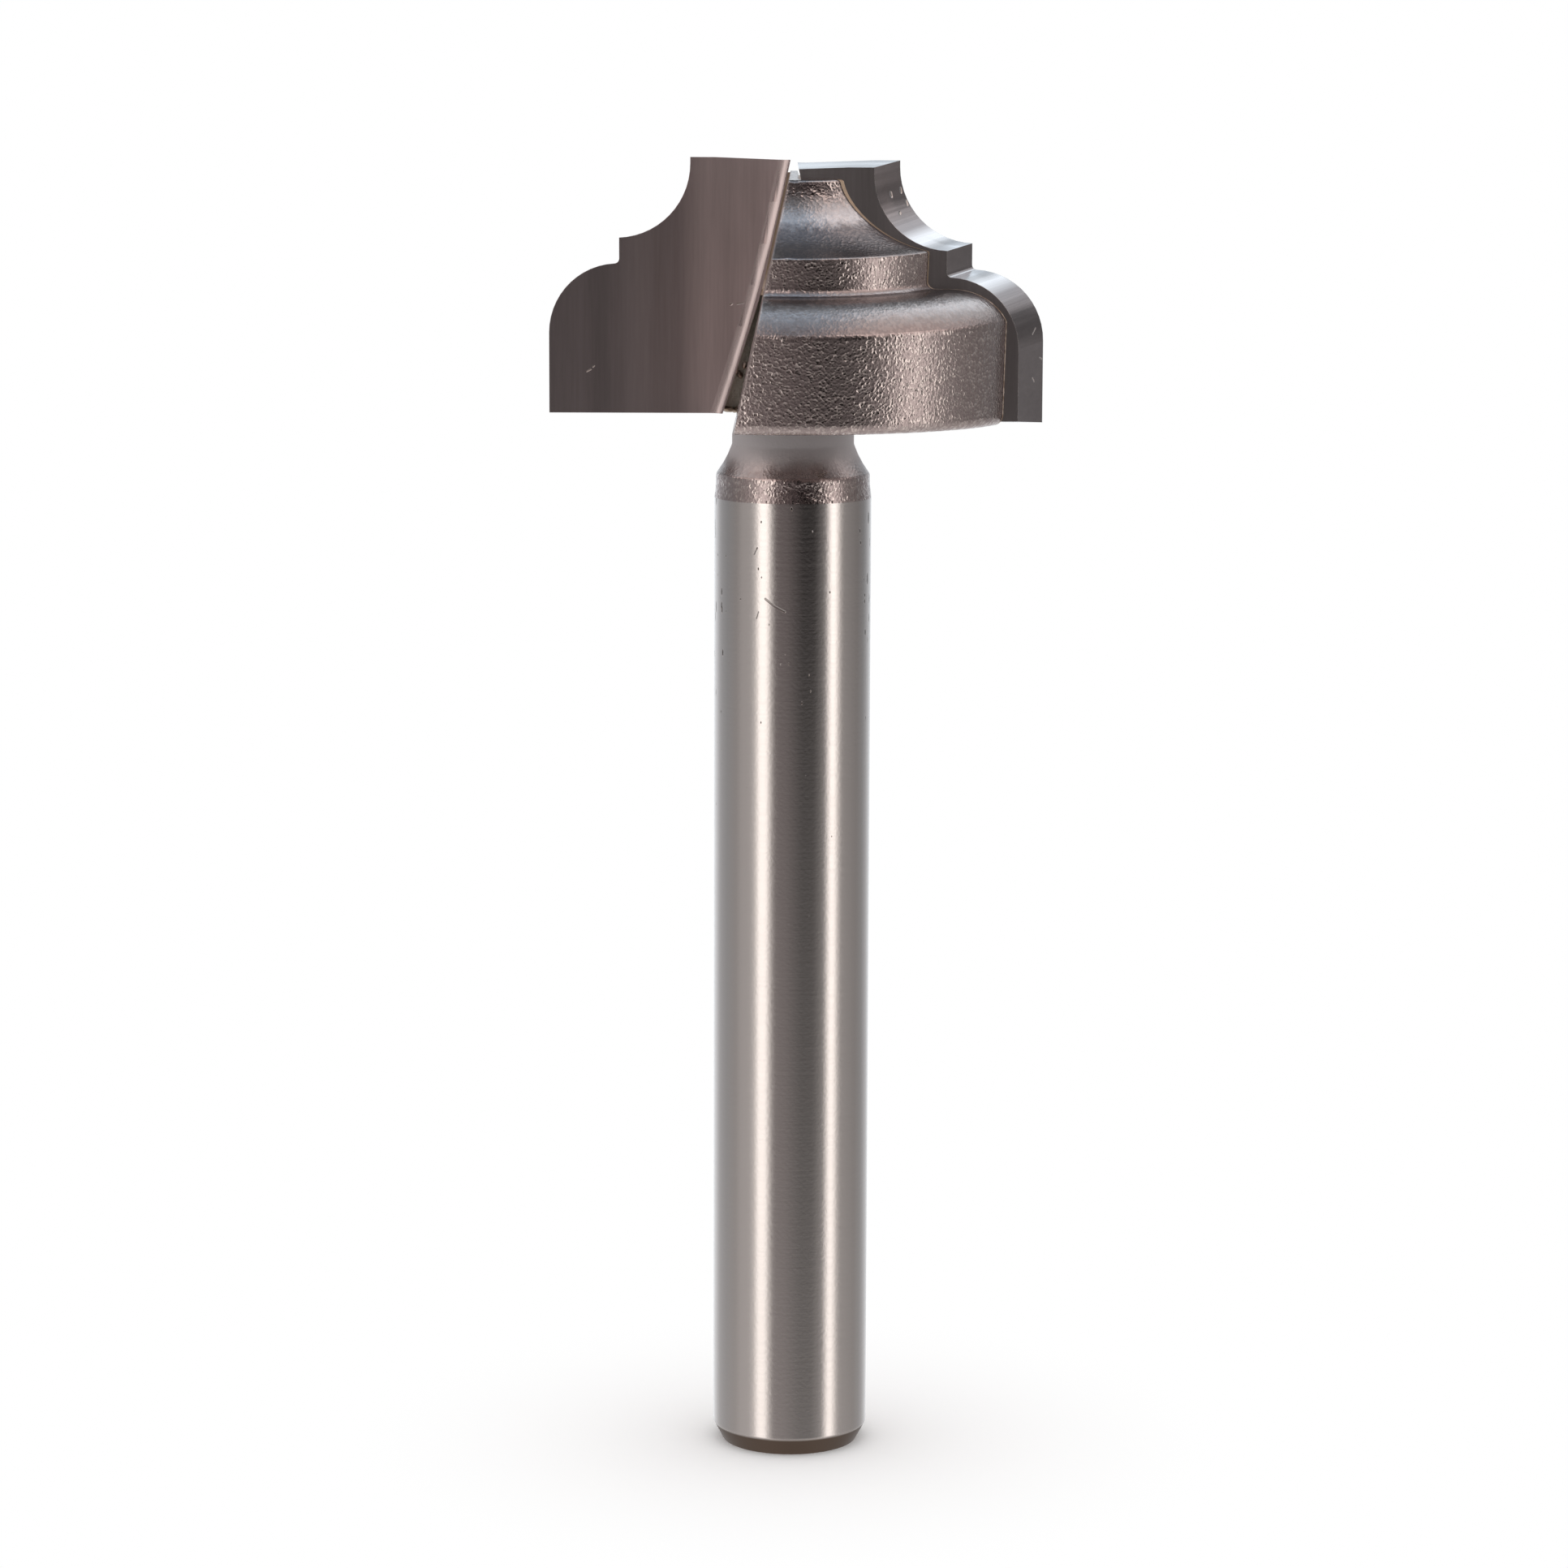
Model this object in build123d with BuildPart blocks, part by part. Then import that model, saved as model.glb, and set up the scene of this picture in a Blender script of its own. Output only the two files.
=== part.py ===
from build123d import *
import os
from math import radians, sqrt, tan

# A two-flute plunging bit for routing a bead, a step and a cove into wood.
# The body is one piece of steel, turned and then milled. A carbide tip is brazed into each
# of its two gullets. The origin is the centre of the shank end, and the axis is Z, with the
# cutter on top. Lengths are in millimetres and angles in degrees.

# Shank, ground to the size of the collet
shank_diameter = 6.35
shank_length = 39.3
shank_chamfer_width = 0.4
shank_chamfer_height = 0.75

# Collar, hollow flank and neck between the shank and the head
collar_diameter = 6.22
collar_length = 0.95
collar_taper_length = 0.55
flank_height = 1.204
flank_radius = 3.9
neck_diameter = 4.92
neck_length = 1.05
neck_rounding = 0.3

# Profile that the tips cut, from the base of the head upwards
cutting_diameter = 20.28
side_height = 3.25
bead_radius = 2.81
step_diameter = 14.73
step_height = 1.04
cove_radius = 3.0
nose_diameter = 9.32
nose_height = 0.25
nose_land = 1.0
nose_dish = 0.12
bead_root_rounding = 0.2

# Steel head, which stays inside the cutting profile. It is turned about an axis that leans back
# over each seat, so that it falls away behind the cutting edge.
lean_angle = 3.5
lean_height = 4.0
rim_setback = 0.99
rim_height = 4.34
rim_rounding = 0.4
shoulder_flat = 0.81
shoulder_drop = 0.475
root_rounding = 0.3
hub_setback = 1.01
hub_drop = 0.03
crown_setback = 0.86
crown_drop = 0.49
cove_clearance = 0.3
edge_rounding = 0.12

# Carbide tips, whose rake faces lie behind the axis
rake_offset = 2.02
tip_thickness = 1.6
relief_in = 1.05
relief_down = 0.24
base_relief_angle = 5.5
heel_height = 4.8
heel_angle = 17.7
heel_rounding = 15.0

# Grinding of the rake face, which leaves a narrow land along the inner edge of each tip
land_width = 0.06
wheel_bulge = 0.17
wheel_depth = 0.12
wheel_corner = 0.8

# Gullets, milled on both sides of the web that is left in the middle
web_thickness = 0.28
wall_angle = 12.4
gullet_runout = 0.9

# Silver braze behind each tip and beside its inner edge
braze_thickness = 0.08
braze_side_gap = 0.085

# Heights and radii that follow from the sizes above
collar_top = shank_length + collar_length
flank_top = collar_top + flank_height
head_base = flank_top + neck_length
bead_centre = head_base + side_height
bead_top = bead_centre + bead_radius
step_top = bead_top + step_height
cove_top = step_top + cove_radius
tip_top = cove_top + nose_height
body_top = tip_top - crown_drop
seat_offset = rake_offset + tip_thickness + braze_thickness
back_offset = rake_offset + tip_thickness
land_offset = rake_offset - wheel_depth
clear_radius = cutting_diameter / 2 + 1

# Frame of the first tip: outwards along its rake face, upwards, and back through the tip
tip_frame = Plane(origin=(0, 0, 0), x_dir=(-1, 0, 0), z_dir=(0, 1, 0))


def on_rake(radius):
    """Distance along the rake face at which it reaches this radius from the axis."""
    return sqrt(radius**2 - rake_offset**2)


def wall_at(height):
    """Distance from the axis to the slanted wall of the gullet at this height."""
    return web_thickness / 2 + (body_top - height) * tan(radians(wall_angle))


def corner(sketch, x, y):
    """The vertex of the sketch that lies nearest to this point."""
    return sketch.vertices().sort_by_distance((x, y))[0]


# Turned blank of the body up to the base of the head
with BuildPart() as shank_and_neck:
    with BuildSketch(Plane.XZ) as half_section:
        with BuildLine():
            Polyline(
                (0, 0),
                (shank_diameter / 2 - shank_chamfer_width, 0),
                (shank_diameter / 2, shank_chamfer_height),
                (shank_diameter / 2, shank_length),
                (collar_diameter / 2, shank_length + collar_taper_length),
                (collar_diameter / 2, collar_top),
            )
            RadiusArc((collar_diameter / 2, collar_top), (neck_diameter / 2, flank_top), flank_radius)
            Polyline(
                (neck_diameter / 2, flank_top),
                (neck_diameter / 2, head_base),
                (neck_diameter / 2 + 2 * neck_rounding, head_base),
                (neck_diameter / 2 + 2 * neck_rounding, head_base + neck_rounding),
                (0, head_base + neck_rounding),
                (0, 0),
            )
        make_face()
        for x, y in (
            (collar_diameter / 2, collar_top),
            (neck_diameter / 2, flank_top),
            (neck_diameter / 2, head_base),
        ):
            fillet(corner(half_section, x, y), neck_rounding)
    revolve(axis=Axis.Z)

# Half of the head as turned, with heights counted from where the two axes cross
lean_centre = head_base + lean_height
lean_plane = Plane((0, 0, lean_centre), x_dir=(1, 0, 0), z_dir=(0, -1, 0)).rotated((-lean_angle, 0, 0))
rim_radius = cutting_diameter / 2 - rim_setback
rim_top = rim_height - lean_height
rim_bottom = -2 * lean_height
hub_radius = step_diameter / 2 - hub_setback
hub_top = step_top - hub_drop - lean_centre
shoulder_top = bead_top - shoulder_drop - lean_centre
shoulder_edge = hub_radius + shoulder_flat
crown_radius = nose_diameter / 2 - crown_setback
crown_top = body_top - lean_centre

with BuildPart() as half_head:
    with BuildSketch(lean_plane) as head_section:
        with BuildLine():
            Polyline((0, rim_bottom), (rim_radius, rim_bottom), (rim_radius, rim_top))
            TangentArc((shoulder_edge, shoulder_top), (rim_radius, rim_top), tangent=(1, 0))
            Polyline(
                (shoulder_edge, shoulder_top),
                (hub_radius, shoulder_top),
                (hub_radius, hub_top),
            )
            RadiusArc((hub_radius, hub_top), (crown_radius, crown_top), cove_radius + cove_clearance)
            Polyline((crown_radius, crown_top), (0, crown_top), (0, rim_bottom))
        make_face()
        for x, y, rounding in (
            (rim_radius, rim_top, rim_rounding),
            (hub_radius, shoulder_top, root_rounding),
            (hub_radius, hub_top, edge_rounding),
            (crown_radius, crown_top, edge_rounding),
        ):
            fillet(corner(head_section, x, y), rounding)
    revolve(axis=Axis(lean_plane.origin, lean_plane.y_dir))
    split(bisect_by=Plane.XY.offset(head_base), keep=Keep.TOP)
    fillet(half_head.faces().sort_by(Axis.Z)[0].edges(), rim_rounding)
    split(bisect_by=-Plane.XZ, keep=Keep.TOP)

# One gullet: everything in front of the seat of the first tip and outside its slanted wall
gullet_top = body_top + gullet_runout
gullet_base = head_base - gullet_runout

with BuildPart() as gullet:
    with BuildSketch(tip_frame.offset(seat_offset)):
        with BuildLine():
            Polyline(
                (wall_at(gullet_top), gullet_top),
                (wall_at(gullet_base), gullet_base),
                (clear_radius, gullet_base),
                (clear_radius, gullet_top),
                close=True,
            )
        make_face()
    extrude(amount=-seat_offset - clear_radius)

# Steel body: shank, neck and head in one piece, with a gullet on each side
with BuildPart() as turned_blank:
    add(shank_and_neck.part)
    add(half_head.part)
    add(half_head.part, rotation=(0, 0, 180))

with BuildPart() as steel_body:
    add(turned_blank.part)
    add(gullet.part, mode=Mode.SUBTRACT)
    add(gullet.part, rotation=(0, 0, 180), mode=Mode.SUBTRACT)

# Outline of a tip's inner edge: along the wall at the top, and away from it at the heel
heel_top = head_base + heel_height
heel_start = wall_at(heel_top) + braze_side_gap
heel_end = heel_start + heel_height * tan(radians(heel_angle))
trim_height = 1.0

with BuildPart() as tip_blank:
    with BuildSketch(tip_frame.offset(land_offset)) as blank_outline:
        with BuildLine():
            Polyline(
                (wall_at(tip_top) + braze_side_gap, tip_top),
                (heel_start, heel_top),
                (heel_end, head_base),
                (heel_end, head_base - trim_height),
                (clear_radius, head_base - trim_height),
                (clear_radius, tip_top),
                close=True,
            )
        make_face()
        fillet(corner(blank_outline, heel_start, heel_top), heel_rounding)
    extrude(amount=back_offset - land_offset)

# Space that the grinding wheel sweeps in front of the rake face, with its rounded corner
wheel_overlap = wheel_corner - sqrt(wheel_corner**2 - (wheel_corner - wheel_depth) ** 2)
wheel_top = wall_at(tip_top) + braze_side_gap + land_width - wheel_overlap
wheel_base = heel_end + land_width - wheel_overlap
wheel_middle = (wheel_top + wheel_base) / 2 - wheel_bulge

with BuildPart() as rake_grinding:
    with BuildSketch(tip_frame.offset(rake_offset)):
        with BuildLine():
            wheel_path = ThreePointArc(
                (wheel_top, tip_top),
                (wheel_middle, (tip_top + head_base) / 2),
                (wheel_base, head_base),
            )
            path_top = wheel_path @ 0 - wheel_path % 0 * trim_height
            path_end = wheel_path @ 1 + wheel_path % 1 * trim_height
            Polyline(
                wheel_path @ 1,
                path_end,
                (clear_radius, path_end.Y),
                (clear_radius, path_top.Y),
                path_top,
                wheel_path @ 0,
            )
        make_face()
    extrude(amount=-2 * wheel_corner)
    wheel_edges = rake_grinding.edges().group_by(Axis.Y)[-1].sort_by_distance(
        (-wheel_middle, rake_offset, (tip_top + head_base) / 2)
    )
    fillet(wheel_edges[0], wheel_corner)

# One carbide tip: the cutting profile swept back, inwards and down, so that it has relief
side_x = on_rake(cutting_diameter / 2)
step_x = on_rake(step_diameter / 2)
nose_x = on_rake(nose_diameter / 2)
relief_direction = Vector(relief_in, tip_thickness, -relief_down)
base_plane = Plane((0, rake_offset, head_base), x_dir=(1, 0, 0)).rotated((base_relief_angle, 0, 0))

with BuildPart() as tip_form:
    with BuildSketch(tip_frame.offset(rake_offset)) as cutting_outline:
        with BuildLine():
            Polyline(
                (-nose_land, head_base - trim_height),
                (-nose_land, tip_top - nose_dish),
                (0, tip_top - nose_dish),
                (nose_x - nose_land, tip_top),
                (nose_x, tip_top),
                (nose_x, cove_top),
            )
            RadiusArc((nose_x, cove_top), (step_x, step_top), -cove_radius)
            Polyline((step_x, step_top), (step_x, bead_top))
            RadiusArc((step_x, bead_top), (side_x, bead_centre), bead_radius)
            Polyline(
                (side_x, bead_centre),
                (side_x, head_base - trim_height),
                (-nose_land, head_base - trim_height),
            )
        make_face()
        fillet(corner(cutting_outline, step_x, bead_top), bead_root_rounding)
    extrude(amount=relief_direction.length, dir=relief_direction, both=True)
    add(tip_blank.part, mode=Mode.INTERSECT)
    add(rake_grinding.part, mode=Mode.SUBTRACT)
    split(bisect_by=base_plane, keep=Keep.TOP)

# Braze of the first tip: a film on the seat, and the filled gap between wall and tip
with BuildPart() as braze_form:
    with BuildSketch(tip_frame.offset(back_offset)):
        add(blank_outline.sketch_local)
    extrude(amount=braze_thickness)
    with BuildSketch(tip_frame.offset(land_offset)):
        with BuildLine():
            Polyline(
                (wall_at(tip_top), tip_top),
                (wall_at(tip_top) + braze_side_gap, tip_top),
                (heel_start, heel_top),
                (wall_at(heel_top), heel_top),
                close=True,
            )
        make_face()
    extrude(amount=seat_offset - land_offset)
    add(turned_blank.part, mode=Mode.INTERSECT)

# Every piece in its own file, the second tip and its braze half a turn round the axis
os.makedirs("parts", exist_ok=True)

steel_body.part.label = "steel_body"
export_step(steel_body.part, "parts/steel_body.step")

for number, turn in enumerate((0, 180), start=1):
    with BuildPart() as carbide_tip:
        add(tip_form.part, rotation=(0, 0, turn))
    carbide_tip.part.label = f"carbide_tip_{number}"
    export_step(carbide_tip.part, f"parts/carbide_tip_{number}.step")

    with BuildPart() as braze_layer:
        add(braze_form.part, rotation=(0, 0, turn))
    braze_layer.part.label = f"braze_layer_{number}"
    export_step(braze_layer.part, f"parts/braze_layer_{number}.step")
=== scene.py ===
import math

import bmesh
import bpy
from mathutils import Matrix, Vector, noise


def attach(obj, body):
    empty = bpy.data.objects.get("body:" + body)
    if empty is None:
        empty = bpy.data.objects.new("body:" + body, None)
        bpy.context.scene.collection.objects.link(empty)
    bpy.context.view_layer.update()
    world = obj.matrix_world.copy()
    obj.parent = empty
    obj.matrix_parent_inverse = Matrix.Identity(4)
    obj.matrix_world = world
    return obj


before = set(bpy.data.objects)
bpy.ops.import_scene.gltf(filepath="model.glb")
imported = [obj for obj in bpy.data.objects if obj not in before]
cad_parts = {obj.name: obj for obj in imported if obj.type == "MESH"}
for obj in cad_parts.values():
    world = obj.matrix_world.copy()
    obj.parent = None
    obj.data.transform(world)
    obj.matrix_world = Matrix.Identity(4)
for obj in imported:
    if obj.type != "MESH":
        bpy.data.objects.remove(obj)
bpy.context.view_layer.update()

MM = 0.001

# Heights along the axis, in millimetres, where one finish of the steel gives way to the next
CHAMFER_TOP = 0.75
SHANK_TOP = 39.3
COLLAR_TOP = 40.75
HEAD_BASE = 42.504
# The hub's base is no change of finish: from there the painted light and shade of the blasted steel
# shift
HUB_BASE = 48.3

# Distances from the middle plane to the backs of the tips and to their seats, in millimetres
BACK_OFFSET = 3.62
SEAT_OFFSET = 3.7

# How far the relief of the tips goes inwards and down for each millimetre back from the edge
RELIEF_IN = 0.656
RELIEF_DOWN = 0.15

# Wear of the shank, in millimetres: the heights over which pits and nicks grow more common
# towards the head, and how far to the side the strips with nicks begin
PIT_RISE = (20.0, 38.0)
NICK_RISE = (24.0, 36.0)
NICK_STRIP = (2.45, 2.9)

# Depths of the marks in each surface and the rounding of its edges, in millimetres
RING_DEPTH = 0.0022
PIT_DEPTH = 0.03
DIMPLE_DEPTH = 0.02
STEEL_EDGE = 0.1
LINE_DEPTH = 0.0012
CHIP_DEPTH = 0.03
CARBIDE_EDGE = 0.02
FLOW_DEPTH = 0.03

# Marks in each millimetre of a surface
RINGS_PER_MM = 9.0
DIMPLES_PER_MM = 8.8
LINES_PER_MM = 7.0

# Cells in each millimetre across and along the shank. Each holds one pit or one nick at most.
PIT_CELLS = (2.4, 2.4, 1.3)
NICK_CELLS = (3.6, 3.6, 1.1)

# How far from the axis the rake face's painted light is spread, and the heights between which the
# braze turns brown with burnt flux, up in the cove and down under the heel, in millimetres
RAKE_REACH = 10.0
BURNT_ABOVE = (47.2, 48.4)
BURNT_BELOW = (42.6, 42.9)


def linear(hex_colour):
    """A colour written as sRGB hex, in the linear values that Blender works with."""
    parts = [int(hex_colour[i:i + 2], 16) / 255 for i in (1, 3, 5)]
    parts = [c / 12.92 if c <= 0.04045 else ((c + 0.055) / 1.055) ** 2.4 for c in parts]
    return (*parts, 1.0)


def add_node(tree, kind, settings=None, **links):
    """Add a node, set its properties, and give each named socket a value or a link."""
    node = tree.nodes.new(kind)
    for name, value in (settings or {}).items():
        setattr(node, name, value)
    for name, value in links.items():
        key = int(name[1:]) if name[0] == "i" and name[1:].isdigit() else name.replace("_", " ")
        socket = node.inputs[key]
        if isinstance(value, bpy.types.NodeSocket):
            tree.links.new(value, socket)
        else:
            socket.default_value = value
    return node


def new_material(name):
    """An empty node material and its output node."""
    material = bpy.data.materials.new(name)
    material.use_nodes = True
    material.node_tree.nodes.clear()
    output = material.node_tree.nodes.new("ShaderNodeOutputMaterial")
    return material, material.node_tree, output


def set_ramp(node, stops):
    """Give a colour ramp its stops, each a position and a linear colour."""
    ramp = node.color_ramp
    ramp.elements.remove(ramp.elements[-1])
    for i, (position, colour) in enumerate(stops):
        element = ramp.elements[0] if i == 0 else ramp.elements.new(position)
        element.position = position
        element.color = (*colour, 1.0)


def scratch_field(tree, place, scratches):
    """A value that is 1 on the scratches, each a start, an end and a width, and 0 off them."""
    total = None
    for start, end, width in scratches:
        start, end = Vector(start), Vector(end)
        along = (end - start).normalized()
        offset = add_node(tree, "ShaderNodeVectorMath", {"operation": "SUBTRACT"}, i0=place,
                          i1=start)
        reach = add_node(tree, "ShaderNodeVectorMath", {"operation": "DOT_PRODUCT"},
                         i0=offset.outputs[0], i1=along)
        held = add_node(tree, "ShaderNodeClamp", Value=reach.outputs["Value"], Min=0.0,
                        Max=(end - start).length)
        foot = add_node(tree, "ShaderNodeVectorMath", {"operation": "SCALE"}, i0=along,
                        Scale=held.outputs[0])
        gap = add_node(tree, "ShaderNodeVectorMath", {"operation": "DISTANCE"},
                       i0=offset.outputs[0], i1=foot.outputs[0])
        mark = add_node(tree, "ShaderNodeMapRange", {"interpolation_type": "SMOOTHSTEP"},
                        Value=gap.outputs["Value"], From_Min=0.2 * width, From_Max=0.6 * width,
                        To_Min=1.0, To_Max=0.0)
        if total is None:
            total = mark.outputs[0]
        else:
            total = add_node(tree, "ShaderNodeMath", {"operation": "MAXIMUM"}, i0=total,
                             i1=mark.outputs[0]).outputs[0]
    return total


# Short scratches on the shank, the first of them bent and so in two parts, and scratches and chips
# on the tips: where each starts and ends, and its width, in millimetres
SHANK_SCRATCHES = (
    ((-1.08, -2.98, 35.49), (-0.72, -3.09, 35.21), 0.08),
    ((-0.72, -3.09, 35.21), (-0.30, -3.16, 34.99), 0.08),
    ((-1.54, -2.77, 37.25), (-1.41, -2.84, 37.52), 0.05),
    ((-1.44, -2.83, 34.68), (-1.36, -2.87, 34.95), 0.05),
)
TIP_SCRATCHES = (
    ((-8.40, 2.02, 44.18), (-8.24, 2.02, 44.27), 0.07),
    ((-8.16, 2.02, 44.36), (-8.10, 2.02, 44.41), 0.06),
    ((-2.30, 2.02, 46.92), (-2.05, 2.02, 46.98), 0.05),
    ((-2.55, 2.02, 46.91), (-2.50, 2.02, 46.94), 0.08),
    ((9.47, -2.68, 46.05), (9.61, -2.42, 46.29), 0.06),
    ((9.80, -2.24, 45.09), (9.88, -2.10, 45.04), 0.07),
    ((9.49, -2.70, 44.31), (9.56, -2.59, 44.18), 0.07),
    ((3.83, -2.82, 51.48), (3.84, -2.82, 51.60), 0.17),
    ((4.22, -2.20, 51.62), (4.23, -2.18, 51.76), 0.15),
    ((4.46, -2.16, 51.12), (4.46, -2.14, 51.26), 0.17),
    ((4.18, -2.84, 50.77), (4.20, -2.80, 50.82), 0.15),
)


# Tool steel. The shank is ground bright, with fine rings round it, and rust pits and nicks near
# its top. The collar and the head are blasted with beads, and their small dimples glitter where
# they face a lamp. The neck is dull. The chamfer at the foot is as turned, and its dark colour is
# painted shade, standing for the shadowed floor near the foot that it mirrors.
def steel_material():
    material, tree, output = new_material("ground_and_blasted_tool_steel")
    coordinates = add_node(tree, "ShaderNodeTexCoord")
    place = add_node(tree, "ShaderNodeVectorMath", {"operation": "SCALE"},
                     i0=coordinates.outputs["Object"], Scale=1 / MM).outputs[0]
    split = add_node(tree, "ShaderNodeSeparateXYZ", i0=place)
    facing = add_node(tree, "ShaderNodeSeparateXYZ", i0=coordinates.outputs["Normal"])
    height = split.outputs["Z"]

    # Where each finish begins
    low = add_node(tree, "ShaderNodeMapRange", Value=height, From_Min=CHAMFER_TOP - 0.1,
                   From_Max=CHAMFER_TOP + 0.03, To_Min=1.0, To_Max=0.0)
    sloped = add_node(tree, "ShaderNodeMath", {"operation": "GREATER_THAN"}, i0=facing.outputs["Z"],
                      i1=-0.95)
    turned = add_node(tree, "ShaderNodeMath", {"operation": "MULTIPLY"}, i0=low.outputs[0],
                      i1=sloped.outputs[0])
    above_shank = add_node(tree, "ShaderNodeMapRange", Value=height, From_Min=SHANK_TOP - 0.02,
                           From_Max=SHANK_TOP + 0.02)
    wander = add_node(tree, "ShaderNodeTexNoise", Vector=place, Scale=1.4, Detail=3.0,
                      Roughness=0.6)
    masked_edge = add_node(tree, "ShaderNodeMath", {"operation": "MULTIPLY_ADD"},
                           i0=wander.outputs["Fac"], i1=0.6, i2=height)
    neck_low = add_node(tree, "ShaderNodeMapRange", {"interpolation_type": "SMOOTHSTEP"},
                        Value=masked_edge.outputs[0], From_Min=COLLAR_TOP - 0.1,
                        From_Max=COLLAR_TOP + 0.95)
    neck_high = add_node(tree, "ShaderNodeMapRange", Value=height, From_Min=HEAD_BASE - 0.06,
                         From_Max=HEAD_BASE, To_Min=1.0, To_Max=0.0)
    dull = add_node(tree, "ShaderNodeMath", {"operation": "MULTIPLY"}, i0=neck_low.outputs[0],
                    i1=neck_high.outputs[0])

    # The seat behind each tip keeps a skin of flux and scale from the brazing
    depth = add_node(tree, "ShaderNodeMath", {"operation": "ABSOLUTE"}, i0=split.outputs["Y"])
    on_seat = add_node(tree, "ShaderNodeMath", {"operation": "COMPARE"}, i0=depth.outputs[0],
                       i1=SEAT_OFFSET, i2=0.01)
    flatness = add_node(tree, "ShaderNodeMath", {"operation": "ABSOLUTE"}, i0=facing.outputs["Y"])
    flat = add_node(tree, "ShaderNodeMath", {"operation": "GREATER_THAN"}, i0=flatness.outputs[0],
                    i1=0.999)
    seat = add_node(tree, "ShaderNodeMath", {"operation": "MULTIPLY"}, i0=on_seat.outputs[0],
                    i1=flat.outputs[0])

    # Grinding rings, drawn a few times coarser than real so that they show, and fine grain
    ring_place = add_node(tree, "ShaderNodeVectorMath", {"operation": "MULTIPLY"}, i0=place,
                          i1=(0.25, 0.25, RINGS_PER_MM))
    rings = add_node(tree, "ShaderNodeTexNoise", Vector=ring_place.outputs[0], Scale=1.0,
                     Detail=4.0, Roughness=0.6)
    grain = add_node(tree, "ShaderNodeTexNoise", Vector=place, Scale=7.0, Detail=2.0, Roughness=0.5)
    ground_height = add_node(tree, "ShaderNodeMath", {"operation": "MULTIPLY_ADD"},
                             i0=rings.outputs["Fac"], i1=0.5, i2=grain.outputs["Fac"])

    # Rust pits: few, small, and most of them near the top of the shank
    pit_place = add_node(tree, "ShaderNodeVectorMath", {"operation": "MULTIPLY"}, i0=place,
                         i1=PIT_CELLS)
    cells = add_node(tree, "ShaderNodeTexVoronoi", Vector=pit_place.outputs[0], Scale=1.0)
    pit_choice = add_node(tree, "ShaderNodeSeparateColor", i0=cells.outputs["Color"])
    pit_zone = add_node(tree, "ShaderNodeMapRange", Value=height, From_Min=PIT_RISE[0],
                        From_Max=PIT_RISE[1], To_Min=0.02, To_Max=0.13)
    pit_size = add_node(tree, "ShaderNodeMath", {"operation": "MULTIPLY"}, i0=pit_choice.outputs[0],
                        i1=pit_zone.outputs[0])
    pit_depth = add_node(tree, "ShaderNodeMath", {"operation": "SUBTRACT"}, i0=pit_size.outputs[0],
                         i1=cells.outputs["Distance"])
    pits = add_node(tree, "ShaderNodeMapRange", Value=pit_depth.outputs[0], From_Min=0.0,
                    From_Max=0.04)
    scratched = scratch_field(tree, place, SHANK_SCRATCHES)

    # Short nicks along the shank, in a strip down each of its sides
    nick_place = add_node(tree, "ShaderNodeVectorMath", {"operation": "MULTIPLY"}, i0=place,
                          i1=NICK_CELLS)
    nick_cells = add_node(tree, "ShaderNodeTexVoronoi", Vector=nick_place.outputs[0], Scale=1.0)
    sideways = add_node(tree, "ShaderNodeMath", {"operation": "ABSOLUTE"}, i0=split.outputs["X"])
    nick_strip = add_node(tree, "ShaderNodeMapRange", Value=sideways.outputs[0],
                          From_Min=NICK_STRIP[0], From_Max=NICK_STRIP[1], To_Min=0.0, To_Max=0.32)
    nick_zone = add_node(tree, "ShaderNodeMapRange", Value=height, From_Min=NICK_RISE[0],
                         From_Max=NICK_RISE[1])
    nick_choice = add_node(tree, "ShaderNodeSeparateColor", i0=nick_cells.outputs["Color"])
    nick_reach = add_node(tree, "ShaderNodeMath", {"operation": "MULTIPLY"},
                          i0=nick_zone.outputs[0], i1=nick_choice.outputs[0])
    nick_size = add_node(tree, "ShaderNodeMath", {"operation": "MULTIPLY"},
                         i0=nick_strip.outputs[0], i1=nick_reach.outputs[0])
    nick_depth = add_node(tree, "ShaderNodeMath", {"operation": "SUBTRACT"},
                          i0=nick_size.outputs[0], i1=nick_cells.outputs["Distance"])
    nicks = add_node(tree, "ShaderNodeMapRange", Value=nick_depth.outputs[0], From_Min=0.0,
                     From_Max=0.05)
    hollows = add_node(tree, "ShaderNodeMath", {"operation": "MAXIMUM"}, i0=pits.outputs[0],
                       i1=nicks.outputs[0])
    marks = add_node(tree, "ShaderNodeMath", {"operation": "MAXIMUM"}, i0=hollows.outputs[0],
                     i1=scratched)
    stained = add_node(tree, "ShaderNodeMath", {"operation": "MULTIPLY_ADD"}, i0=scratched, i1=0.45,
                       i2=hollows.outputs[0])

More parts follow.
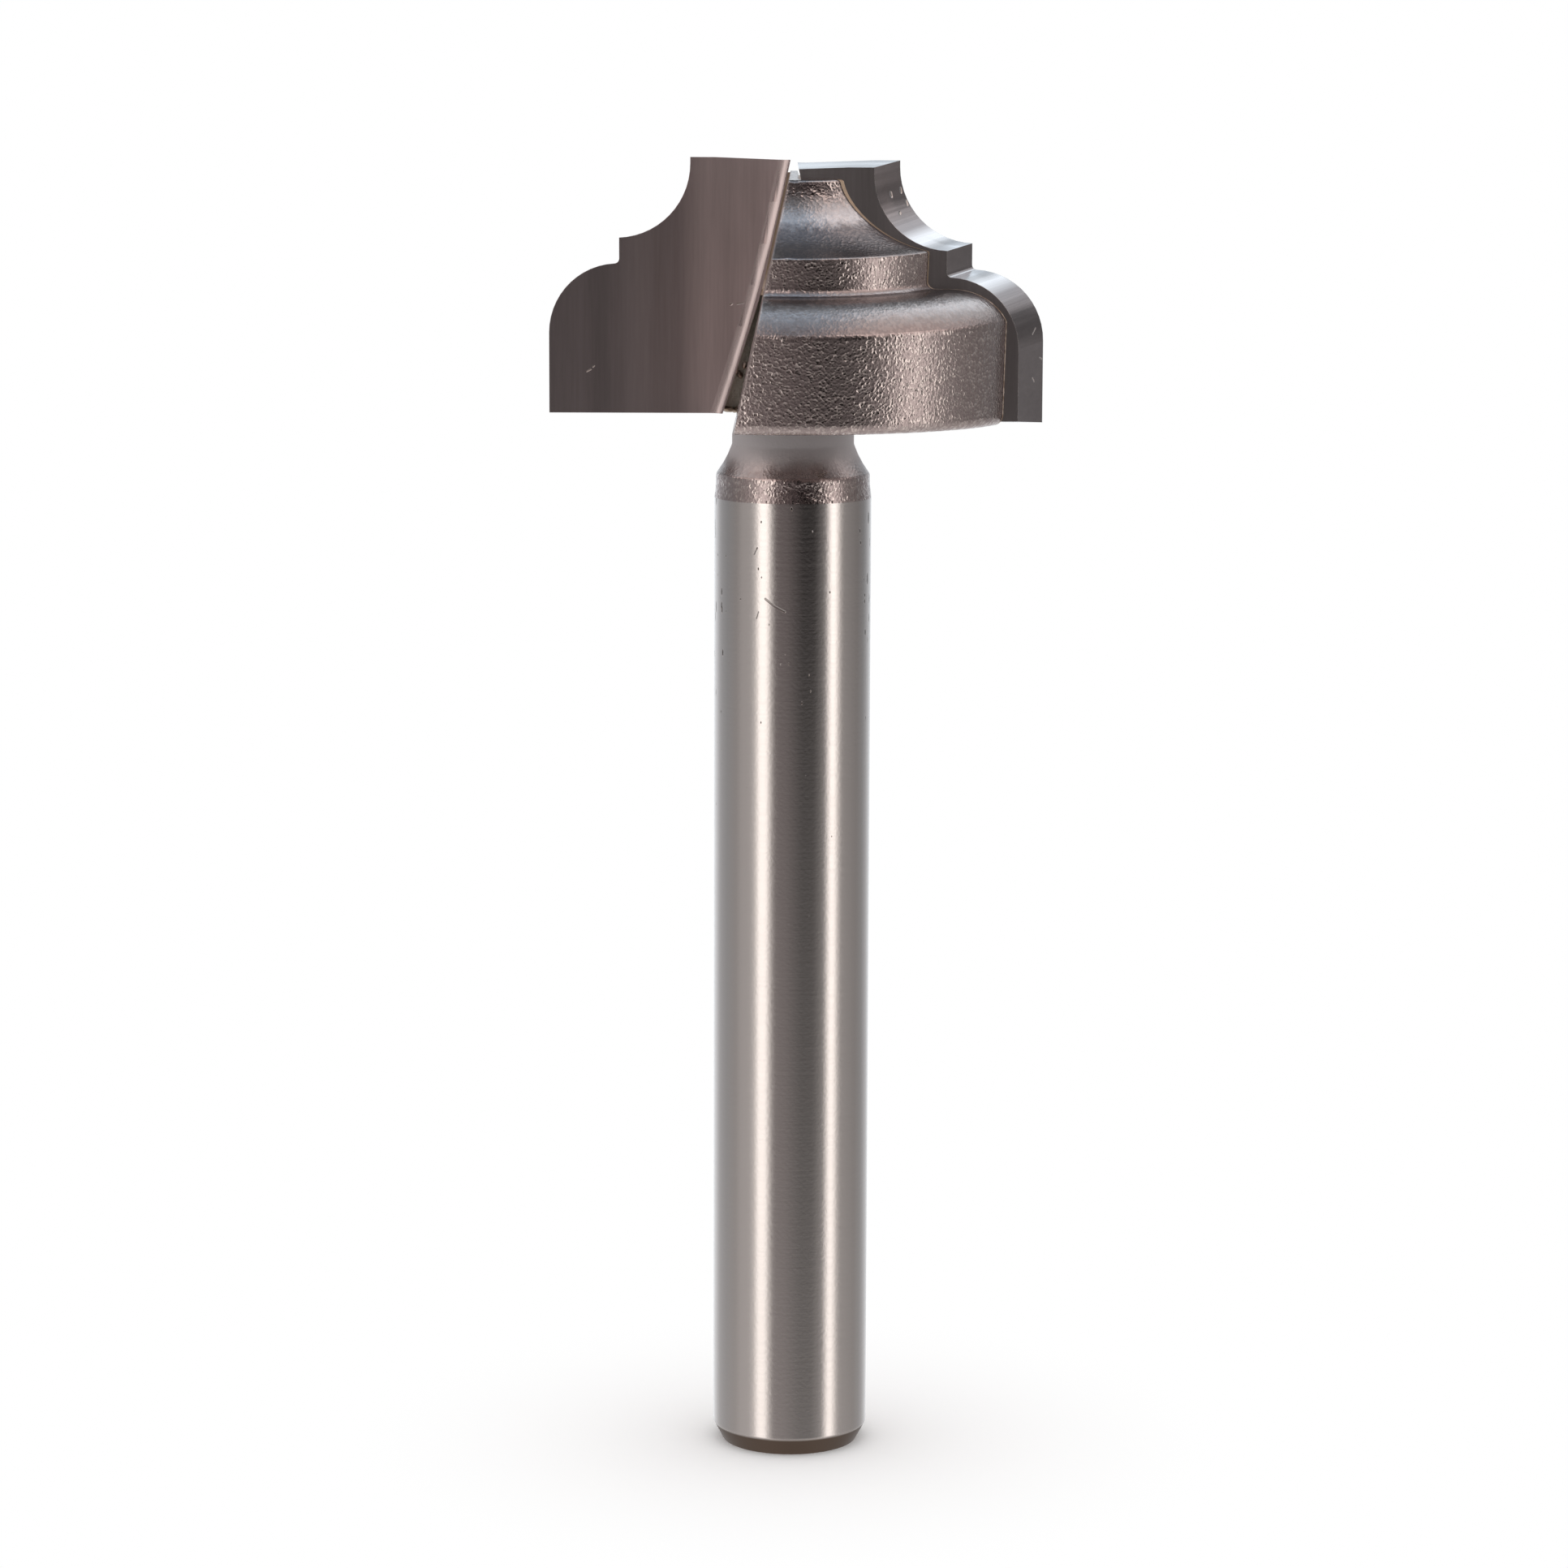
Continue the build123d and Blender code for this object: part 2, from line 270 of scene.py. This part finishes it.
    # Dimples left by the beads, round bowls about a tenth of a millimetre across, which is a
    # little coarser than real so that they show. Some are deeper and polished, and those glitter.
    stray = add_node(tree, "ShaderNodeTexNoise", Vector=place, Scale=5.0, Detail=1.0, Roughness=0.5)
    shaken = add_node(tree, "ShaderNodeVectorMath", {"operation": "MULTIPLY_ADD"},
                      i0=stray.outputs["Color"], i1=(0.12, 0.12, 0.12), i2=place)
    bowls = add_node(tree, "ShaderNodeTexVoronoi", Vector=shaken.outputs[0], Scale=DIMPLES_PER_MM)
    bowl_depth = add_node(tree, "ShaderNodeMath", {"operation": "POWER"},
                          i0=bowls.outputs["Distance"], i1=2.0)
    bowl_choice = add_node(tree, "ShaderNodeSeparateColor", i0=bowls.outputs["Color"])
    chosen = add_node(tree, "ShaderNodeMapRange", Value=bowl_choice.outputs[0], From_Min=0.46,
                      From_Max=0.74)
    upright = add_node(tree, "ShaderNodeMapRange", {"interpolation_type": "SMOOTHSTEP"},
                       Value=facing.outputs["Z"], From_Min=0.1, From_Max=0.5, To_Min=1.0,
                       To_Max=0.15)
    polished = add_node(tree, "ShaderNodeMath", {"operation": "MULTIPLY"}, i0=chosen.outputs[0],
                        i1=upright.outputs[0])
    mottle = add_node(tree, "ShaderNodeTexNoise", Vector=place, Scale=3.5, Detail=4.0,
                      Roughness=0.7)
    dimples = add_node(tree, "ShaderNodeMath", {"operation": "MULTIPLY_ADD"},
                       i0=stray.outputs["Fac"], i1=0.5, i2=bowl_depth.outputs[0])

    # Each finish's own relief, on edges that are slightly rounded
    soft_edge = add_node(tree, "ShaderNodeBevel", {"samples": 4}, Radius=STEEL_EDGE * MM)
    ground_skin = add_node(tree, "ShaderNodeBump", Strength=1.0, Distance=RING_DEPTH * MM,
                           Normal=soft_edge.outputs[0], Height=ground_height.outputs[0])
    marked_skin = add_node(tree, "ShaderNodeBump", {"invert": True}, Strength=1.0,
                           Distance=PIT_DEPTH * MM, Normal=ground_skin.outputs[0],
                           Height=marks.outputs[0])
    dimple_reach = add_node(tree, "ShaderNodeMapRange", Value=polished.outputs[0], To_Min=0.4,
                            To_Max=0.94)
    masked_reach = add_node(tree, "ShaderNodeMapRange", Value=dull.outputs[0], To_Min=1.0,
                            To_Max=0.35)
    bowl_reach = add_node(tree, "ShaderNodeMath", {"operation": "MULTIPLY"},
                          i0=dimple_reach.outputs[0], i1=masked_reach.outputs[0])
    blast_skin = add_node(tree, "ShaderNodeBump", Strength=bowl_reach.outputs[0],
                          Distance=DIMPLE_DEPTH * MM, Normal=soft_edge.outputs[0],
                          Height=dimples.outputs[0])
    skin = add_node(tree, "ShaderNodeMix", {"data_type": "VECTOR"}, i0=above_shank.outputs[0],
                    i4=marked_skin.outputs[0], i5=blast_skin.outputs[0])

    # Colour: the ground steel, then the blasted steel, the dull neck, the seats and the chamfer.
    # The blasted steel's colour is painted light and shade by how far each part faces up: a pale
    # painted highlight in a band on the shoulders and the cone, and painted shade on the flattest
    # up-facing parts. The hub is a little further along that scale than the rim, which moves this
    # painted light and shade.
    hub_painted_light_shift = add_node(tree, "ShaderNodeMapRange", Value=height, From_Min=HUB_BASE,
                      From_Max=HUB_BASE + 0.5, To_Max=0.29)
    uneven = add_node(tree, "ShaderNodeMapRange", Value=mottle.outputs["Fac"], To_Min=-0.15,
                      To_Max=0.15)
    slope = add_node(tree, "ShaderNodeMath", {"operation": "ADD"}, i0=facing.outputs["Z"],
                     i1=uneven.outputs[0])
    slope_for_painted_light = add_node(tree, "ShaderNodeMath", {"operation": "ADD"}, i0=slope.outputs[0],
                            i1=hub_painted_light_shift.outputs[0])
    # Painted light and shade: a colour for each slope, lighter and darker by how far the part faces
    # up
    slope_painted_light = add_node(tree, "ShaderNodeValToRGB", Fac=slope_for_painted_light.outputs[0])
    set_ramp(slope_painted_light, [(stop, linear(tone)[:3]) for stop, tone in (
        (0.32, "#9c8e8c"), (0.48, "#7d7372"), (0.64, "#888485"), (0.81, "#b0b0b4"),
        (0.95, "#6b686b"))])
    blasted = add_node(tree, "ShaderNodeMix", {"data_type": "RGBA"}, i0=polished.outputs[0],
                       i6=slope_painted_light.outputs["Color"], i7=linear("#b1a4a0"))
    pitted = add_node(tree, "ShaderNodeMix", {"data_type": "RGBA"}, i0=stained.outputs[0],
                      i6=linear("#bdb6b3"), i7=linear("#5a504a"))
    colour = pitted.outputs[2]
    # The chamfer's dark brown is painted shade, for the shadowed floor near the foot that it
    # mirrors
    for share, shade in ((above_shank.outputs[0], blasted.outputs[2]),
                         (dull.outputs[0], linear("#bcb8b9")), (seat.outputs[0], linear("#d8cebf")),
                         (turned.outputs[0], linear("#594b42"))):
        colour = add_node(tree, "ShaderNodeMix", {"data_type": "RGBA"}, i0=share, i6=colour,
                          i7=shade).outputs[2]

    # Roughness, in the same order
    worn = add_node(tree, "ShaderNodeMapRange", Value=rings.outputs["Fac"], From_Min=0.3,
                    From_Max=0.7, To_Min=0.13, To_Max=0.19)
    roughness = worn.outputs[0]
    blast_finish = add_node(tree, "ShaderNodeMapRange", Value=polished.outputs[0], To_Min=0.27,
                            To_Max=0.07)
    for share, level in ((above_shank.outputs[0], blast_finish.outputs[0]), (dull.outputs[0], 0.85),
                         (seat.outputs[0], 0.6), (turned.outputs[0], 0.5)):
        roughness = add_node(tree, "ShaderNodeMix", {"data_type": "FLOAT"}, i0=share, i2=roughness,
                             i3=level).outputs[0]
    # The skin on the seats is only partly metal
    bare = add_node(tree, "ShaderNodeMapRange", Value=seat.outputs[0], To_Min=1.0, To_Max=0.3)
    shader = add_node(tree, "ShaderNodeBsdfPrincipled", Base_Color=colour, Metallic=bare.outputs[0],
                      Roughness=roughness, Normal=skin.outputs[1])
    tree.links.new(shader.outputs[0], output.inputs["Surface"])
    return material


# Tungsten carbide, ground with a diamond wheel. The rake face has fine upright lines and spreads
# its reflections sideways. The relief faces have lines from the cutting edge to the back. The
# lines are drawn a few times coarser than real so that they show.
def carbide_material():
    material, tree, output = new_material("ground_tungsten_carbide")
    coordinates = add_node(tree, "ShaderNodeTexCoord")
    place = add_node(tree, "ShaderNodeVectorMath", {"operation": "SCALE"},
                     i0=coordinates.outputs["Object"], Scale=1 / MM).outputs[0]
    split = add_node(tree, "ShaderNodeSeparateXYZ", i0=place)
    facing = add_node(tree, "ShaderNodeSeparateXYZ", i0=coordinates.outputs["Normal"])
    flatness = add_node(tree, "ShaderNodeMath", {"operation": "ABSOLUTE"}, i0=facing.outputs["Y"])
    front = add_node(tree, "ShaderNodeMapRange", Value=flatness.outputs[0], From_Min=0.5,
                     From_Max=0.6)
    depth = add_node(tree, "ShaderNodeMath", {"operation": "ABSOLUTE"}, i0=split.outputs["Y"])
    rake_depth = add_node(tree, "ShaderNodeMath", {"operation": "LESS_THAN"}, i0=depth.outputs[0],
                          i1=BACK_OFFSET - 0.02)
    rake = add_node(tree, "ShaderNodeMath", {"operation": "MULTIPLY"}, i0=rake_depth.outputs[0],
                    i1=front.outputs[0])
    back = add_node(tree, "ShaderNodeMath", {"operation": "GREATER_THAN"}, i0=depth.outputs[0],
                    i1=BACK_OFFSET - 0.02)

    # Lines along the relief: coordinates that stay the same from the cutting edge to the back
    slant = add_node(tree, "ShaderNodeMath", {"operation": "MULTIPLY_ADD"}, i0=split.outputs["Y"],
                     i1=-RELIEF_IN, i2=split.outputs["X"])
    drop = add_node(tree, "ShaderNodeMath", {"operation": "MULTIPLY_ADD"}, i0=depth.outputs[0],
                    i1=RELIEF_DOWN, i2=split.outputs["Z"])
    relief_place = add_node(tree, "ShaderNodeCombineXYZ", X=slant.outputs[0], Z=drop.outputs[0])
    rake_place = add_node(tree, "ShaderNodeVectorMath", {"operation": "MULTIPLY"}, i0=place,
                          i1=(1.0, 0.0, 0.04))
    line_place = add_node(tree, "ShaderNodeMix", {"data_type": "VECTOR"}, i0=front.outputs[0],
                          i4=relief_place.outputs[0], i5=rake_place.outputs[0])
    lines = add_node(tree, "ShaderNodeTexNoise", Vector=line_place.outputs[1], Scale=LINES_PER_MM,
                     Detail=4.0, Roughness=0.65)
    bands = add_node(tree, "ShaderNodeTexNoise", Vector=line_place.outputs[1], Scale=0.42,
                     Detail=2.0, Roughness=0.5)
    marks = scratch_field(tree, place, TIP_SCRATCHES)

    shade = add_node(tree, "ShaderNodeMath", {"operation": "MULTIPLY_ADD"}, i0=lines.outputs["Fac"],
                     i1=0.35, i2=bands.outputs["Fac"])
    # Painted light: the relief's colour goes lighter and darker by how far it faces up, with a pale
    # bluish painted reflection of the sky where it faces mostly up
    relief_painted_light = add_node(tree, "ShaderNodeValToRGB", Fac=facing.outputs["Z"])
    set_ramp(relief_painted_light, [(stop, linear(tone)[:3]) for stop, tone in (
        (0.12, "#bcb3b3"), (0.4, "#8f8b8d"), (0.66, "#868589"), (0.84, "#e4ebf3"),
        (0.975, "#e4ebf3"), (0.995, "#8a9097"))])
    # The rake face is painted palest near the middle of the bit and darker towards its outer edge:
    # painted light, a painted reflection of the tent
    width = add_node(tree, "ShaderNodeMath", {"operation": "ABSOLUTE"}, i0=split.outputs["X"])
    outward = add_node(tree, "ShaderNodeMapRange", Value=width.outputs[0], From_Min=0.0,
                       From_Max=RAKE_REACH)
    rake_painted_light = add_node(tree, "ShaderNodeValToRGB", Fac=outward.outputs[0])
    set_ramp(rake_painted_light, [(stop, linear(tone)[:3]) for stop, tone in (
        (0.35, "#cab8b6"), (0.47, "#988b8a"), (0.75, "#898080"))])
    # The curve that the wheel left beside the steel, known by its slope, is smoother, and is
    # painted
    # darker there: painted shade that narrows the lamp's reflection on it
    curve = add_node(tree, "ShaderNodeMapRange", Value=flatness.outputs[0], From_Min=0.95,
                     From_Max=0.998, To_Min=1.0, To_Max=0.0)
    curve_painted_shade = add_node(tree, "ShaderNodeMapRange", Value=curve.outputs[0], To_Min=1.0,
                           To_Max=0.48)
    rake_painted_light_and_shade = add_node(tree, "ShaderNodeVectorMath", {"operation": "SCALE"},
                          i0=rake_painted_light.outputs["Color"], Scale=curve_painted_shade.outputs[0])
    colour = relief_painted_light.outputs["Color"]
    for share, tone in ((rake.outputs[0], rake_painted_light_and_shade.outputs[0]),
                        (back.outputs[0], linear("#8e8888"))):
        colour = add_node(tree, "ShaderNodeMix", {"data_type": "RGBA"}, i0=share, i6=colour,
                          i7=tone).outputs[2]
    lined = add_node(tree, "ShaderNodeMapRange", Value=shade.outputs[0], From_Min=0.4,
                     From_Max=0.95, To_Min=0.72, To_Max=1.28)
    streaked = add_node(tree, "ShaderNodeVectorMath", {"operation": "SCALE"}, i0=colour,
                        Scale=lined.outputs[0])
    colour = add_node(tree, "ShaderNodeMix", {"data_type": "RGBA"}, i0=marks,
                      i6=streaked.outputs[0], i7=linear("#b8aea8")).outputs[2]
    flat_rake = add_node(tree, "ShaderNodeMapRange", Value=curve.outputs[0], To_Min=0.33,
                         To_Max=0.14)
    roughness = add_node(tree, "ShaderNodeMix", {"data_type": "FLOAT"}, i0=front.outputs[0],
                         i2=0.24, i3=flat_rake.outputs[0])
    turn = add_node(tree, "ShaderNodeMix", {"data_type": "FLOAT"}, i0=front.outputs[0], i2=0.25,
                    i3=0.0)
    across = add_node(tree, "ShaderNodeTangent", {"direction_type": "RADIAL", "axis": "Z"})
    soft_edge = add_node(tree, "ShaderNodeBevel", {"samples": 4}, Radius=CARBIDE_EDGE * MM)
    line_skin = add_node(tree, "ShaderNodeBump", Strength=1.0, Distance=LINE_DEPTH * MM,
                         Normal=soft_edge.outputs[0], Height=lines.outputs["Fac"])
    skin = add_node(tree, "ShaderNodeBump", {"invert": True}, Strength=1.0,
                    Distance=CHIP_DEPTH * MM, Normal=line_skin.outputs[0], Height=marks)
    shader = add_node(tree, "ShaderNodeBsdfPrincipled", Base_Color=colour, Metallic=1.0,
                      Roughness=roughness.outputs[0], Anisotropic=0.7,
                      Anisotropic_Rotation=turn.outputs[0], Tangent=across.outputs[0],
                      Normal=skin.outputs[0])
    tree.links.new(shader.outputs[0], output.inputs["Surface"])
    return material


# Silver braze, as it flowed and froze: a dull coppery grey, lumpy where it ran out of the joint.
# Flux stays on part of it, so it isn't wholly metal.
def braze_material():
    material, tree, output = new_material("silver_braze_as_flowed")
    coordinates = add_node(tree, "ShaderNodeTexCoord")
    place = add_node(tree, "ShaderNodeVectorMath", {"operation": "SCALE"},
                     i0=coordinates.outputs["Object"], Scale=1 / MM).outputs[0]
    flow = add_node(tree, "ShaderNodeTexNoise", Vector=place, Scale=3.0, Detail=4.0, Roughness=0.6)
    tint = add_node(tree, "ShaderNodeMapRange", Value=flow.outputs["Fac"], From_Min=0.4,
                    From_Max=0.6)
    clean = add_node(tree, "ShaderNodeMix", {"data_type": "RGBA"}, i0=tint.outputs[0],
                     i6=linear("#a08672"), i7=linear("#f4e0d0"))
    # It is brown with burnt flux up in the cove, and where it ran out under the heel
    height = add_node(tree, "ShaderNodeSeparateXYZ", i0=place).outputs["Z"]
    above = add_node(tree, "ShaderNodeMapRange", Value=height, From_Min=BURNT_ABOVE[0],
                     From_Max=BURNT_ABOVE[1])
    below = add_node(tree, "ShaderNodeMapRange", Value=height, From_Min=BURNT_BELOW[0],
                     From_Max=BURNT_BELOW[1], To_Min=1.0, To_Max=0.0)
    burnt = add_node(tree, "ShaderNodeMath", {"operation": "ADD"}, i0=above.outputs[0],
                     i1=below.outputs[0])
    colour = add_node(tree, "ShaderNodeMix", {"data_type": "RGBA"}, i0=burnt.outputs[0],
                      i6=clean.outputs[2], i7=linear("#94816f"))
    skin = add_node(tree, "ShaderNodeBump", Strength=1.0, Distance=FLOW_DEPTH * MM,
                    Height=flow.outputs["Fac"])
    shader = add_node(tree, "ShaderNodeBsdfPrincipled", Base_Color=colour.outputs[2], Metallic=0.65,
                      Roughness=0.4, Normal=skin.outputs[0])
    tree.links.new(shader.outputs[0], output.inputs["Surface"])
    return material


def dress(node, material):
    """Give a CAD node its finished material."""
    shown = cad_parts[node]
    shown.data.materials.clear()
    shown.data.materials.append(material)


dress("steel_body", steel_material())
carbide = carbide_material()
braze = braze_material()
for number in (1, 2):
    dress(f"carbide_tip_{number}", carbide)
    dress(f"braze_layer_{number}", braze)


# Drops of braze that ran out of each joint beside the heel of the tip: centre and half lengths in
# millimetres, and turn about Y in radians, for the first tip. The second tip has the same ones,
# half a turn round. Each is kneaded by noise so that it isn't a plain ball.
DROP_UNEVENNESS = 0.18
DROPS = (
    ((-2.00, 2.60, 44.42), (0.10, 0.24, 0.17), 0.2),
    ((-2.38, 2.12, 44.23), (0.13, 0.17, 0.12), 0.2),
    ((-2.20, 3.62, 43.95), (0.17, 0.12, 0.12), 0.9),
    ((-2.62, 3.30, 42.57), (0.30, 0.34, 0.13), 0.05),
    ((-2.33, 3.45, 42.54), (0.20, 0.30, 0.12), -0.25),
)


def braze_drops():
    shape = bmesh.new()
    for centre, half_lengths, turn in DROPS:
        drop = bmesh.ops.create_icosphere(shape, subdivisions=3, radius=1.0)["verts"]
        for vertex in drop:
            vertex.co *= 1.0 + DROP_UNEVENNESS * noise.noise(vertex.co * 1.3 + Vector(centre))
        bmesh.ops.scale(shape, vec=Vector(half_lengths) * MM, verts=drop)
        bmesh.ops.rotate(shape, cent=(0, 0, 0), matrix=Matrix.Rotation(turn, 3, "Y"), verts=drop)
        bmesh.ops.translate(shape, vec=Vector(centre) * MM, verts=drop)
    first = shape.verts[:] + shape.edges[:] + shape.faces[:]
    copies = bmesh.ops.duplicate(shape, geom=first)["geom"]
    second = [item for item in copies if isinstance(item, bmesh.types.BMVert)]
    bmesh.ops.rotate(shape, cent=(0, 0, 0), matrix=Matrix.Rotation(math.pi, 3, "Z"), verts=second)
    for face in shape.faces:
        face.smooth = True
    mesh = bpy.data.meshes.new("braze_drops")
    shape.to_mesh(mesh)
    shape.free()
    drops = bpy.data.objects.new("braze_drops", mesh)
    bpy.context.scene.collection.objects.link(drops)
    drops.data.materials.append(braze)
    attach(drops, "root")


braze_drops()


# Studio: a round white floor, and a tent of soft light that the metal mirrors. Near the bit's foot
# the floor keeps its shadow, and from there it fades to plain white. Distances in millimetres.
SHADOW_REACH = (2, 19)
FLOOR_RADIUS = 600


def floor_material():
    material, tree, output = new_material("white_floor")
    place = add_node(tree, "ShaderNodeTexCoord").outputs["Object"]
    reach = add_node(tree, "ShaderNodeVectorMath", {"operation": "LENGTH"}, i0=place)
    fade = add_node(tree, "ShaderNodeMapRange", {"interpolation_type": "SMOOTHSTEP"},
                    Value=reach.outputs["Value"], From_Min=SHADOW_REACH[0] * MM,
                    From_Max=SHADOW_REACH[1] * MM)
    light = add_node(tree, "ShaderNodeLightPath")
    seen = add_node(tree, "ShaderNodeMath", {"operation": "MULTIPLY"}, i0=fade.outputs[0],
                    i1=light.outputs["Is Camera Ray"])
    paper = add_node(tree, "ShaderNodeBsdfDiffuse", Color=linear("#fffefe"))
    white = add_node(tree, "ShaderNodeEmission", Color=(1, 1, 1, 1), Strength=1.0)
    mix = add_node(tree, "ShaderNodeMixShader", i0=seen.outputs[0], i1=paper.outputs[0],
                   i2=white.outputs[0])
    # What the metal mirrors of the floor is part of the tent below, because the paper is small
    clear = add_node(tree, "ShaderNodeBsdfTransparent")
    last = add_node(tree, "ShaderNodeMixShader", i0=light.outputs["Is Glossy Ray"],
                    i1=mix.outputs[0], i2=clear.outputs[0])
    tree.links.new(last.outputs[0], output.inputs["Surface"])
    return material


disc = bmesh.new()
bmesh.ops.create_circle(disc, cap_ends=True, segments=96, radius=FLOOR_RADIUS * MM)
floor_mesh = bpy.data.meshes.new("floor")
disc.to_mesh(floor_mesh)
disc.free()
floor = bpy.data.objects.new("floor", floor_mesh)
bpy.context.scene.collection.objects.link(floor)
floor.data.materials.append(floor_material())


# What stands round the bit, by the tint of its light: white paper, plain walls, two warm lamps, the
# dark room behind the camera and a skylight. Brightness 1 is that of white paper in full light.
TINTS = {"paper": (0.955, 1.0, 1.045), "wall": (1.02, 0.99, 0.98), "lamp": (1.03, 1.0, 0.965),
         "room": (1.1, 0.95, 0.96), "skylight": (0.87, 1.0, 1.15)}
# The tent's walls by compass angle, 0 towards the camera and positive to its right: angle,
# brightness and tint, matched to the bands of light and dark that the shank mirrors.
WALLS = (
    (-180, 1.32, "paper"), (-150, 0.99, "paper"), (-131, 0.55, "paper"), (-112, 0.41, "paper"),
    (-90, 0.39, "wall"), (-80, 0.53, "wall"), (-64, 0.56, "wall"),
    (-55, 0.93, "lamp"), (-49, 2.28, "lamp"), (-38, 2.25, "lamp"), (-32, 0.81, "lamp"),
    (-25, 0.18, "room"), (-9, 0.155, "room"), (0, 0.10, "room"), (16, 0.016, "room"),
    (33, 0.02, "room"),
    (50, 0.28, "wall"), (60, 2.40, "lamp"), (66, 2.26, "lamp"), (74, 0.8, "lamp"),
    (80, 0.4, "wall"), (112, 0.27, "wall"),
    (130, 0.35, "paper"), (158, 0.84, "paper"), (180, 1.22, "paper"),
)
# Its roof by angle over the top, from the horizon on the camera's side to the one behind
ROOF = (
    (0, 0.34, "wall"), (40, 0.38, "paper"), (56, 0.71, "skylight"), (90, 0.76, "skylight"),
    (106, 0.34, "paper"), (144, 0.25, "wall"), (152, 1.35, "paper"), (168, 1.50, "paper"),
)
# How much of the pale floor shows below the horizon, by how steeply one looks down
GROUND = (
    (0.0, 0.0), (0.108, 0.0), (0.145, 0.12), (0.22, 0.155), (0.30, 0.28), (0.45, 0.5), (0.8, 0.8),
)
FLOOR_GLOW = (1.0, 0.985, 0.97, 1.0)
# The roof's flanks, out to the sides, near the camera and behind the bit
NEAR_FLANK = (1.60, 1.43, 1.36, 1.0)
FAR_FLANK = (1.35, 1.34, 1.34, 1.0)

world = bpy.data.worlds.new("studio")
bpy.context.scene.world = world
world.use_nodes = True
tree = world.node_tree
tree.nodes.clear()
# Which way a reflection looks: its compass angle, and its angle over the top
way = add_node(tree, "ShaderNodeSeparateXYZ",
               i0=add_node(tree, "ShaderNodeTexCoord").outputs["Generated"])
front = add_node(tree, "ShaderNodeMath", {"operation": "MULTIPLY"}, i0=way.outputs["Y"], i1=-1.0)
compass = add_node(tree, "ShaderNodeMath", {"operation": "ARCTAN2"}, i0=way.outputs["X"],
                   i1=front.outputs[0])
turn = add_node(tree, "ShaderNodeMapRange", Value=compass.outputs[0], From_Min=-math.pi,
                From_Max=math.pi)
walls = add_node(tree, "ShaderNodeValToRGB", Fac=turn.outputs[0])
set_ramp(walls, [((angle + 180) / 360, Vector(TINTS[tint]) * bright)
                 for angle, bright, tint in WALLS])
climb = add_node(tree, "ShaderNodeMath", {"operation": "ARCTAN2"}, i0=way.outputs["Z"],
                 i1=front.outputs[0])
over = add_node(tree, "ShaderNodeMath", {"operation": "DIVIDE"}, i0=climb.outputs[0], i1=math.pi)
roof = add_node(tree, "ShaderNodeValToRGB", Fac=over.outputs[0])
set_ramp(roof, [(angle / 180, Vector(TINTS[tint]) * bright) for angle, bright, tint in ROOF])
# The roof takes over from the walls above them, and its flanks take over from it to the sides
sideways = add_node(tree, "ShaderNodeMath", {"operation": "ABSOLUTE"}, i0=way.outputs["X"])
flank = add_node(tree, "ShaderNodeMapRange", {"interpolation_type": "SMOOTHSTEP"},
                 Value=sideways.outputs[0], From_Min=0.14, From_Max=0.42)
behind = add_node(tree, "ShaderNodeMapRange", {"interpolation_type": "SMOOTHSTEP"},
                  Value=way.outputs["Y"], From_Min=-0.1, From_Max=0.5)
side_roof = add_node(tree, "ShaderNodeMix", {"data_type": "RGBA"}, i0=behind.outputs[0],
                     i6=NEAR_FLANK, i7=FAR_FLANK)
upper = add_node(tree, "ShaderNodeMix", {"data_type": "RGBA"}, i0=flank.outputs[0],
                 i6=roof.outputs["Color"], i7=side_roof.outputs[2])
rise = add_node(tree, "ShaderNodeMapRange", {"interpolation_type": "SMOOTHSTEP"},
                Value=way.outputs["Z"], From_Min=0.33, From_Max=0.5)
above_floor = add_node(tree, "ShaderNodeMix", {"data_type": "RGBA"}, i0=rise.outputs[0],
                       i6=walls.outputs["Color"], i7=upper.outputs[2])
# Below the horizon the floor takes over
downward = add_node(tree, "ShaderNodeMath", {"operation": "MULTIPLY"}, i0=way.outputs["Z"], i1=-1.0)
ground = add_node(tree, "ShaderNodeValToRGB", Fac=downward.outputs[0])
set_ramp(ground, [(steepness, (share, share, share)) for steepness, share in GROUND])
tent = add_node(tree, "ShaderNodeMix", {"data_type": "RGBA"}, i0=ground.outputs["Color"],
                i6=above_floor.outputs[2], i7=FLOOR_GLOW)
# Only what the metal mirrors is the tent, and everything else sees plain white
light = add_node(tree, "ShaderNodeLightPath")
mirrored = add_node(tree, "ShaderNodeBackground", Color=tent.outputs[2], Strength=1.0)
plain = add_node(tree, "ShaderNodeBackground", Color=(1, 1, 1, 1), Strength=1.0)
mix = add_node(tree, "ShaderNodeMixShader", i0=light.outputs["Is Glossy Ray"], i1=plain.outputs[0],
               i2=mirrored.outputs[0])
add_node(tree, "ShaderNodeOutputWorld", Surface=mix.outputs[0])

# Camera, fitted to the photograph: eye point in millimetres, tilt, turn and roll in radians, and
# focal length and frame width in pixels
EYE = Vector((0.0, -188.476, 57.806)) * MM
TILT, TURN, ROLL = 0.1593, 0.001655, 0.0038
FOCAL_PX, FRAME_PX = 5758.56, 1932
SENSOR_MM = 36.0

level = Vector((0.0, math.cos(TILT), -math.sin(TILT)))
right = math.cos(TURN) * Vector((1, 0, 0)) + math.sin(TURN) * level
ahead = math.cos(TURN) * level - math.sin(TURN) * Vector((1, 0, 0))
above = Vector((0.0, math.sin(TILT), math.cos(TILT)))
across = math.cos(ROLL) * right + math.sin(ROLL) * above
upward = math.cos(ROLL) * above - math.sin(ROLL) * right
camera = bpy.data.objects.new("camera", bpy.data.cameras.new("camera"))
bpy.context.scene.collection.objects.link(camera)
bpy.context.scene.camera = camera
camera.data.sensor_width = SENSOR_MM
camera.data.lens = SENSOR_MM * FOCAL_PX / FRAME_PX
camera.data.clip_start = 10 * MM
camera.data.clip_end = 5000 * MM
turned = Matrix((across, upward, -ahead)).transposed().to_4x4()
camera.matrix_world = Matrix.Translation(EYE) @ turned

bpy.context.scene.view_settings.view_transform = "Standard"
